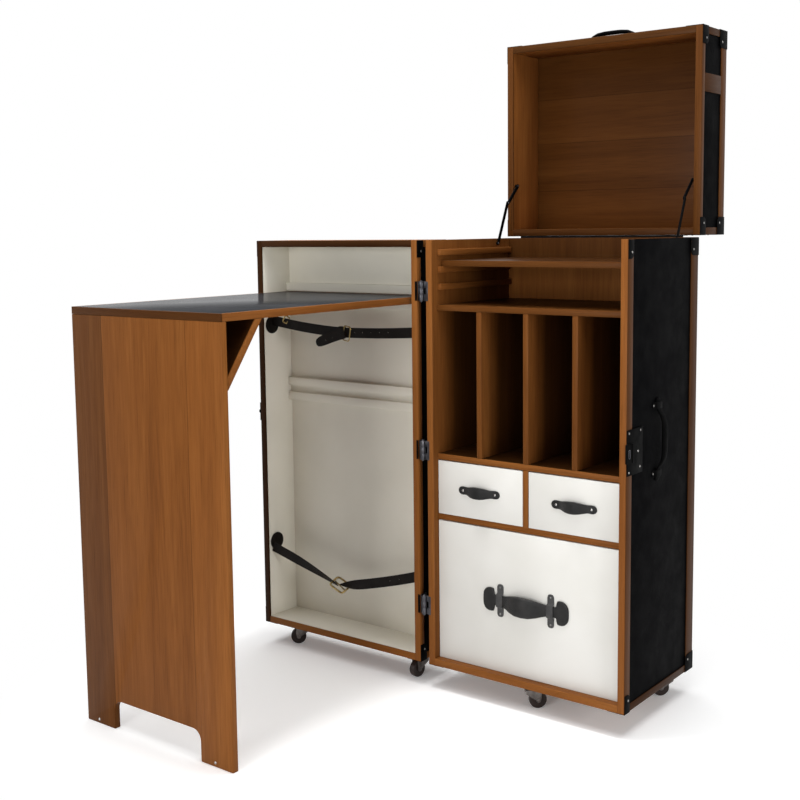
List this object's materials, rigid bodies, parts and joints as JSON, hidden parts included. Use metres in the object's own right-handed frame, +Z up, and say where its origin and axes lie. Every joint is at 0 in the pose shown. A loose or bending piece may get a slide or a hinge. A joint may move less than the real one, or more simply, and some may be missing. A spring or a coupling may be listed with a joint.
{
  "type": "writing desk trunk",
  "caption": "Upright travelling trunk opened flat: leather case with drawers and pigeonholes, hinged shallow half holding a fold-out standing desk, lift-up lid and casters.",
  "frame": {"origin": "middle of the opened trunk's outer box, on the floor", "axes": "+Z up, +Y towards the trunk's back, +X towards the deep case's outer side; the desk reaches out along -Y"},
  "size_m": [1.2022, 1.2116, 1.732],
  "materials": {
    "wood": "reddish brown, satin varnish",
    "cream_board": "cream lining on board",
    "white_board": "off-white, matt",
    "black_leather": "grained, satin",
    "brown_leather": "dark brown, matt",
    "black_metal": "black, satin",
    "hinge_steel": "dark grey, satin",
    "caster_wheel": "dark brown, satin"
  },
  "bodies": {
    "case": {"case_left_side": "wood", "case_right_side": "wood", "case_back": "wood", "case_bottom": "wood", "case_leather": "black_leather", "case_battens": "wood", "pigeonhole_floor": "wood", "pigeonhole_top_shelf": "wood", "pigeonhole_divider_left": "wood", "pigeonhole_divider_middle": "wood", "pigeonhole_divider_right": "wood", "drawer_frame": "wood", "side_handle": "black_leather", "lock_plate": "black_metal", "trunk_hinge_case_leaf_lower": "hinge_steel", "trunk_hinge_case_leaf_middle": "hinge_steel", "trunk_hinge_case_leaf_upper": "hinge_steel", "lid_hinge_case_leaf": "black_metal"},
    "door": {"door_shell": "cream_board", "door_leather": "black_leather", "door_battens": "wood", "desk_rail_upper": "cream_board", "desk_rail_lower": "cream_board", "strap_upper": "brown_leather", "strap_lower": "brown_leather", "lock_keeper": "black_metal", "trunk_hinge_door_leaf_lower": "hinge_steel", "trunk_hinge_door_leaf_middle": "hinge_steel", "trunk_hinge_door_leaf_upper": "hinge_steel"},
    "lid": {"lid_box": "wood", "lid_leather": "black_leather", "lid_battens": "wood", "lid_handle": "black_leather", "lid_hinge_lid_leaf": "black_metal"},
    "lid_stay_lower": {"lid_stay_lower_left": "black_metal", "lid_stay_lower_right": "black_metal"},
    "lid_stay_upper": {"lid_stay_upper_left": "black_metal", "lid_stay_upper_right": "black_metal"},
    "desk": {"desk_top": "wood", "desk_cover": "black_leather"},
    "desk_leg": {"desk_leg": "wood"},
    "desk_brace": {"desk_brace": "wood"},
    "small_drawer_left": {"small_drawer_left": "white_board", "small_drawer_left_pull": "black_leather"},
    "small_drawer_right": {"small_drawer_right": "white_board", "small_drawer_right_pull": "black_leather"},
    "large_drawer": {"large_drawer": "white_board", "large_drawer_grip": "black_leather"},
    "pull_out_shelf": {"pull_out_shelf": "wood"},
    "lock_hasp": {"lock_hasp": "black_metal"},
    "caster_case_front": {"caster_fork_case_front": "black_metal"},
    "caster_case_rear_right": {"caster_fork_case_rear_right": "black_metal"},
    "caster_case_rear_left": {"caster_fork_case_rear_left": "black_metal"},
    "caster_door_left": {"caster_fork_door_left": "black_metal"},
    "caster_door_right": {"caster_fork_door_right": "black_metal"},
    "wheel_case_front": {"caster_wheel_case_front": "caster_wheel"},
    "wheel_case_rear_right": {"caster_wheel_case_rear_right": "caster_wheel"},
    "wheel_case_rear_left": {"caster_wheel_case_rear_left": "caster_wheel"},
    "wheel_door_left": {"caster_wheel_door_left": "caster_wheel"},
    "wheel_door_right": {"caster_wheel_door_right": "caster_wheel"}
  },
  "joints": [
    {"name": "trunk_hinge", "type": "hinge", "parent": "case", "child": "door", "pos_m": [-0.00785, 0.06325, 0.638], "axis": [0, 0, -1], "range_deg": [-85, 0]},
    {"name": "lid_hinge", "type": "hinge", "parent": "case", "child": "lid", "pos_m": [0.29165, 0.45325, 1.1845], "axis": [-1, 0, 0], "range_deg": [-90, 0]},
    {"name": "lid_stay_lower_turn", "type": "hinge", "parent": "case", "child": "lid_stay_lower", "pos_m": [0.29165, 0.36825, 1.171], "axis": [-1, 0, 0], "range_deg": [-115.3, 0]},
    {"name": "lid_stay_upper_turn", "type": "hinge", "parent": "lid", "child": "lid_stay_upper", "pos_m": [0.29165, 0.46525, 1.328], "axis": [-1, 0, 0], "range_deg": [0, 108.4]},
    {"name": "desk_slide", "type": "slide", "parent": "door", "child": "desk", "axis": [0, -1, 0], "range_m": [0, 0.2]},
    {"name": "desk_leg_fold", "type": "hinge", "parent": "desk", "child": "desk_leg", "pos_m": [-0.30735, -0.58025, 1.008], "axis": [1, 0, 0], "range_deg": [0, 38]},
    {"name": "desk_brace_fold", "type": "hinge", "parent": "desk_leg", "child": "desk_brace", "pos_m": [-0.30735, -0.58845, 0.866], "axis": [1, 0, 0], "range_deg": [-142.2, 0]},
    {"name": "small_drawer_left_slide", "type": "slide", "parent": "case", "child": "small_drawer_left", "axis": [0, -1, 0], "range_m": [0, 0.22]},
    {"name": "small_drawer_right_slide", "type": "slide", "parent": "case", "child": "small_drawer_right", "axis": [0, -1, 0], "range_m": [0, 0.22]},
    {"name": "large_drawer_slide", "type": "slide", "parent": "case", "child": "large_drawer", "axis": [0, -1, 0], "range_m": [0, 0.24]},
    {"name": "pull_out_shelf_slide", "type": "slide", "parent": "case", "child": "pull_out_shelf", "axis": [0, -1, 0], "range_m": [0, 0.2]},
    {"name": "lock_hasp_swing", "type": "hinge", "parent": "case", "child": "lock_hasp", "pos_m": [0.58325, 0.07875, 0.691], "axis": [0, 0, 1], "range_deg": [0, 100]},
    {"name": "caster_case_front_swivel", "type": "hinge", "parent": "case", "child": "caster_case_front", "pos_m": [0.29165, 0.10225, 0.0223], "axis": [0, 0, 1], "continuous": true},
    {"name": "caster_case_rear_right_swivel", "type": "hinge", "parent": "case", "child": "caster_case_rear_right", "pos_m": [0.53765, 0.38925, 0.0223], "axis": [0, 0, 1], "continuous": true},
    {"name": "caster_case_rear_left_swivel", "type": "hinge", "parent": "case", "child": "caster_case_rear_left", "pos_m": [0.04565, 0.38925, 0.0223], "axis": [0, 0, 1], "continuous": true},
    {"name": "caster_door_left_swivel", "type": "hinge", "parent": "door", "child": "caster_door_left", "pos_m": [-0.49335, 0.12975, 0.0223], "axis": [0, 0, 1], "continuous": true},
    {"name": "caster_door_right_swivel", "type": "hinge", "parent": "door", "child": "caster_door_right", "pos_m": [-0.06335, 0.12975, 0.0223], "axis": [0, 0, 1], "continuous": true},
    {"name": "wheel_case_front_roll", "type": "hinge", "parent": "caster_case_front", "child": "wheel_case_front", "pos_m": [0.30721, 0.11781, 0.02231], "axis": [-0.7071, 0.7071, 0], "continuous": true},
    {"name": "wheel_case_rear_right_roll", "type": "hinge", "parent": "caster_case_rear_right", "child": "wheel_case_rear_right", "pos_m": [0.52209, 0.37369, 0.02231], "axis": [0.7071, -0.7071, 0], "continuous": true},
    {"name": "wheel_case_rear_left_roll", "type": "hinge", "parent": "caster_case_rear_left", "child": "wheel_case_rear_left", "pos_m": [0.03009, 0.37369, 0.02231], "axis": [0.7071, -0.7071, 0], "continuous": true},
    {"name": "wheel_door_left_roll", "type": "hinge", "parent": "caster_door_left", "child": "wheel_door_left", "pos_m": [-0.50891, 0.11419, 0.02231], "axis": [0.7071, -0.7071, 0], "continuous": true},
    {"name": "wheel_door_right_roll", "type": "hinge", "parent": "caster_door_right", "child": "wheel_door_right", "pos_m": [-0.06717, 0.10808, 0.02231], "axis": [0.9848, -0.1736, 0], "continuous": true}
  ],
  "couplings": [
    {"joint": "lid_stay_lower_turn", "follows": "lid_hinge", "ratio": 1.28},
    {"joint": "lid_stay_upper_turn", "follows": "lid_hinge", "ratio": -1.203},
    {"joint": "desk_brace_fold", "follows": "desk_leg_fold", "ratio": -3.74}
  ]
}
